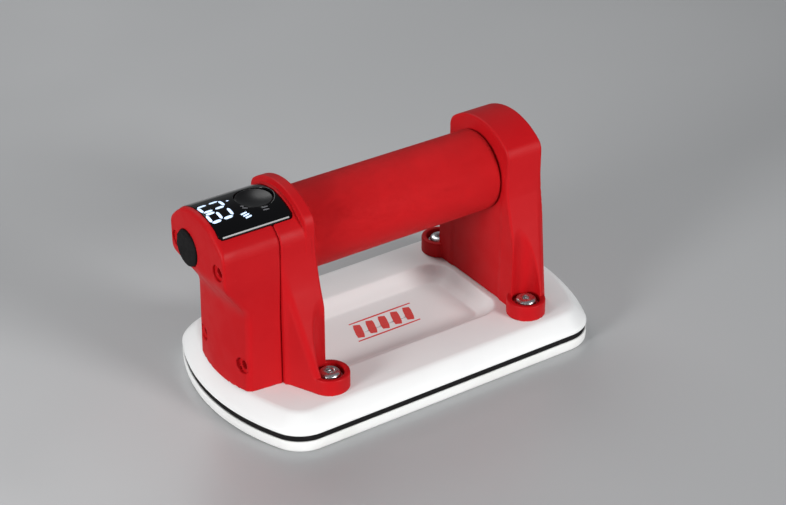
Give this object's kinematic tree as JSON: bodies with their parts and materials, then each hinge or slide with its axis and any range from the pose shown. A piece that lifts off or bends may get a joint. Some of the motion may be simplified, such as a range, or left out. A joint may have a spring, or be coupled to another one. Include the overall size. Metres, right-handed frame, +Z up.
{
  "type": "vacuum suction cup",
  "caption": "Battery-powered vacuum suction lifter: oblong sealed base, raised hand grip on two posts, display head with button, and a pump inside.",
  "frame": {"origin": "middle of the oblong base, on the flat underside of the sealing ring", "axes": "+X along the grip away from the display head, +Z up, out of the surface that the lifter holds"},
  "size_m": [0.201, 0.111, 0.109],
  "materials": {
    "white_abs": "satin moulded ABS",
    "black_rubber": "matte moulded rubber",
    "white_silicone": "matte silicone",
    "grey_abs": "satin moulded ABS",
    "zinc_steel": "zinc plated",
    "stainless": "turned stainless",
    "black_steel": "black oxide",
    "filter_felt": "pressed felt",
    "black_plastic": "fine texture",
    "clear_silicone": "translucent tube",
    "brass": "turned",
    "red_abs": "satin moulded ABS",
    "grip_rubber": "leather grain",
    "cell_wrap": "shrink film",
    "shrink_sleeve": "shrink film",
    "foam": "open cell foam",
    "nickel": "nickel strip",
    "wire_insulation": "insulation",
    "lens_black": "polished",
    "button_black": "polished, dished",
    "board_green": "solder mask",
    "ivory_plastic": "moulded nylon",
    "magnet": "sintered ferrite",
    "coil_copper": "enamelled wire"
  },
  "bodies": {
    "frame": {"base_shell": "white_abs", "gasket_band": "black_rubber", "seal_ring": "white_silicone", "suction_plate": "grey_abs", "plate_screws": "zinc_steel", "intake_filter": "filter_felt", "filter_cap": "black_plastic", "port_hoses": "clear_silicone", "thread_inserts": "brass", "lug_screws": "stainless", "lug_washers": "stainless", "front_post": "red_abs", "front_housing": "red_abs", "housing_screws": "black_steel", "rear_post": "red_abs", "rear_cover": "red_abs", "rear_cover_screws": "black_steel", "handle_tube": "black_plastic", "grip_sleeve": "grip_rubber", "front_cell": "cell_wrap", "rear_cell": "cell_wrap", "cell_sleeve": "shrink_sleeve", "cell_spacers": "foam", "contact_spring": "zinc_steel", "contact_plates": "nickel", "power_leads": "wire_insulation", "display_lens": "lens_black", "display_module": "black_plastic", "control_board": "board_green", "board_screws": "zinc_steel", "button_switch": "black_plastic", "buzzer": "black_plastic", "pressure_sensor": "ivory_plastic", "charge_port": "stainless", "charge_board": "board_green", "motor_can": "zinc_steel", "motor_magnets": "magnet", "motor_end_bell": "ivory_plastic", "pump_housing": "black_plastic", "diaphragm": "black_rubber", "pump_head": "black_plastic", "pump_screws": "zinc_steel", "pump_pads": "black_rubber", "motor_bracket": "zinc_steel", "check_valve_body": "ivory_plastic", "check_spring": "stainless", "vent_valve_body": "ivory_plastic", "vent_coil": "coil_copper", "vent_spring": "stainless", "suction_hose": "clear_silicone", "sensor_hose": "clear_silicone", "muffler": "black_plastic"},
    "button": {"power_button": "button_black", "switch_plunger": "black_plastic"},
    "cap": {"charge_cap": "black_rubber"},
    "rotor": {"motor_rotor": "black_steel", "eccentric": "brass"},
    "rod": {"connecting_rod": "ivory_plastic"},
    "poppet": {"check_poppet": "black_rubber"},
    "vent": {"vent_plunger": "black_steel"}
  },
  "joints": [
    {"name": "button_press", "type": "slide", "parent": "frame", "child": "button", "axis": [0, 0, -1], "range_m": [0, 0.001], "stiffness_N_per_m": 800, "springref_m": -0.0012},
    {"name": "cap_hinge", "type": "hinge", "parent": "frame", "child": "cap", "pos_m": [-0.102, 0.008, 0.0929], "axis": [0, 1, 0], "range_deg": [0, 100]},
    {"name": "motor_spin", "type": "hinge", "parent": "frame", "child": "rotor", "pos_m": [-0.0676, 0, 0.05], "axis": [0, 0, 1], "continuous": true},
    {"name": "rod_swing", "type": "hinge", "parent": "rotor", "child": "rod", "pos_m": [-0.0686, 0, 0.032], "axis": [0, 0, 1], "continuous": true},
    {"name": "poppet_lift", "type": "slide", "parent": "frame", "child": "poppet", "axis": [0, 0, 1], "range_m": [0, 0.0015], "stiffness_N_per_m": 40, "springref_m": -0.002, "deforming": ["check_spring"]},
    {"name": "vent_lift", "type": "slide", "parent": "frame", "child": "vent", "axis": [0, 0, 1], "range_m": [0, 0.002], "stiffness_N_per_m": 150, "springref_m": -0.002, "deforming": ["vent_spring"]}
  ],
  "couplings": [
    {"joint": "rod_swing", "follows": "motor_spin", "ratio": -1}
  ]
}
